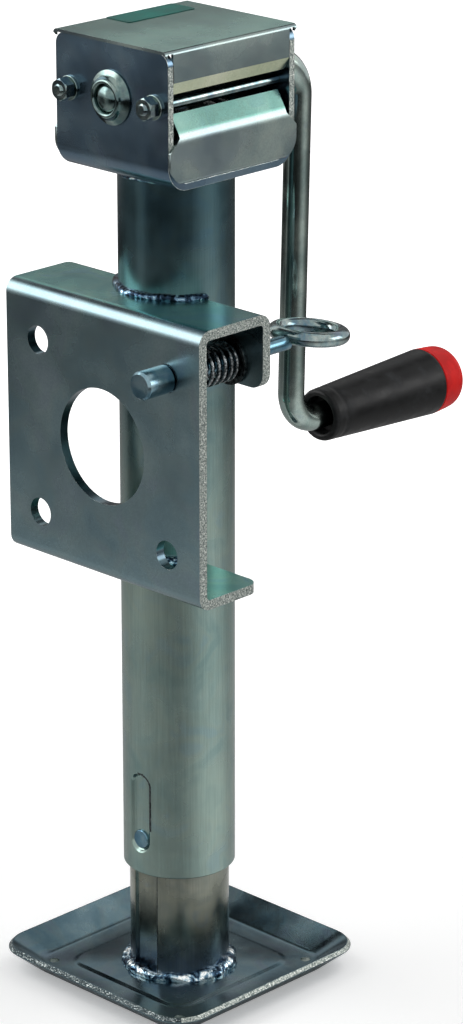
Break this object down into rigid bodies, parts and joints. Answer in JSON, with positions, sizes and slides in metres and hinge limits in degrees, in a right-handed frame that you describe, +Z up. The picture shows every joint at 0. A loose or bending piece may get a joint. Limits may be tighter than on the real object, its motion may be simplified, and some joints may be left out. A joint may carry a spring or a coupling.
{
  "type": "trailer prop stand",
  "caption": "Tubular screw jack leg with a side crank and grip, a square foot pan, and a bolt-on channel mount plate with a spring-loaded lock pin and pull ring.",
  "frame": {"origin": "on the tube axis, in the plane that the foot pan rests on", "axes": "+Z up along the tube, -Y out of the mount plate's face, +X towards the plate's end with the lock pin, the crank on the +Y side"},
  "size_m": [0.136, 0.27, 0.4953],
  "materials": {
    "zinc_plate": "bright zinc plate with a blue-green tint, faintly streaked",
    "bright_zinc": "bright zinc plate, smooth",
    "weld_bead": "rippled weld under zinc plate",
    "spring_steel": "dark oiled steel",
    "machined_steel": "turned and cut steel, lightly greased",
    "ball_steel": "polished",
    "bronze": "turned bronze",
    "grip_rubber": "satin black rubber",
    "red_cap": "satin red",
    "label": "satin teal film, bare"
  },
  "bodies": {
    "stand": {"outer_tube": "zinc_plate", "guide_key": "bright_zinc", "mount_bracket": "zinc_plate", "bracket_weld_top": "weld_bead", "bracket_weld_bottom": "weld_bead", "spring_seat": "spring_steel", "lock_spring": "spring_steel", "gear_housing": "zinc_plate", "housing_weld": "weld_bead", "lower_cover": "zinc_plate", "lid": "zinc_plate", "lid_label": "label", "cover_bolts": "bright_zinc", "cover_nuts": "bright_zinc", "cover_washers": "bright_zinc", "front_bush": "bright_zinc", "rear_bush": "bright_zinc", "screw_bush": "bronze", "thrust_race_upper": "machined_steel", "thrust_balls": "ball_steel", "ball_cage": "bronze"},
    "crank": {"crank_handle": "bright_zinc", "bevel_pinion": "machined_steel", "pinion_pin": "machined_steel", "pinion_washer": "machined_steel", "grip_retainer": "machined_steel"},
    "grip": {"grip_sleeve": "grip_rubber", "grip_cap": "red_cap"},
    "screw": {"lead_screw": "machined_steel", "bevel_gear": "machined_steel", "gear_pin": "machined_steel", "thrust_race_lower": "machined_steel", "end_stop": "machined_steel", "stop_pin": "machined_steel"},
    "leg": {"inner_tube": "zinc_plate", "lead_nut": "machined_steel", "foot_plate": "zinc_plate", "foot_weld": "weld_bead"},
    "pin": {"lock_pin": "bright_zinc", "pull_ring": "bright_zinc", "pin_collar": "spring_steel", "collar_pin": "spring_steel"}
  },
  "joints": [
    {"name": "crank_turn", "type": "hinge", "parent": "stand", "child": "crank", "pos_m": [0, 0, 0.4673], "axis": [0, 1, 0], "range_deg": [0, 20700]},
    {"name": "screw_turn", "type": "hinge", "parent": "stand", "child": "screw", "pos_m": [0, 0, 0.4], "axis": [0, 0, 1], "range_deg": [0, 13801]},
    {"name": "leg_slide", "type": "slide", "parent": "stand", "child": "leg", "axis": [0, 0, -1], "range_m": [0, 0.23]},
    {"name": "grip_spin", "type": "hinge", "parent": "crank", "child": "grip", "pos_m": [0, 0.14, 0.276], "axis": [0, 1, 0], "continuous": true},
    {"name": "pin_pull", "type": "slide", "parent": "stand", "child": "pin", "axis": [0, 1, 0], "range_m": [0, 0.0175], "stiffness_N_per_m": 1200, "springref_m": -0.008, "deforming": ["lock_spring"]}
  ],
  "couplings": [
    {"joint": "screw_turn", "follows": "crank_turn", "ratio": 0.66667},
    {"joint": "leg_slide", "follows": "crank_turn", "m_per_rad": 0.00063662}
  ]
}
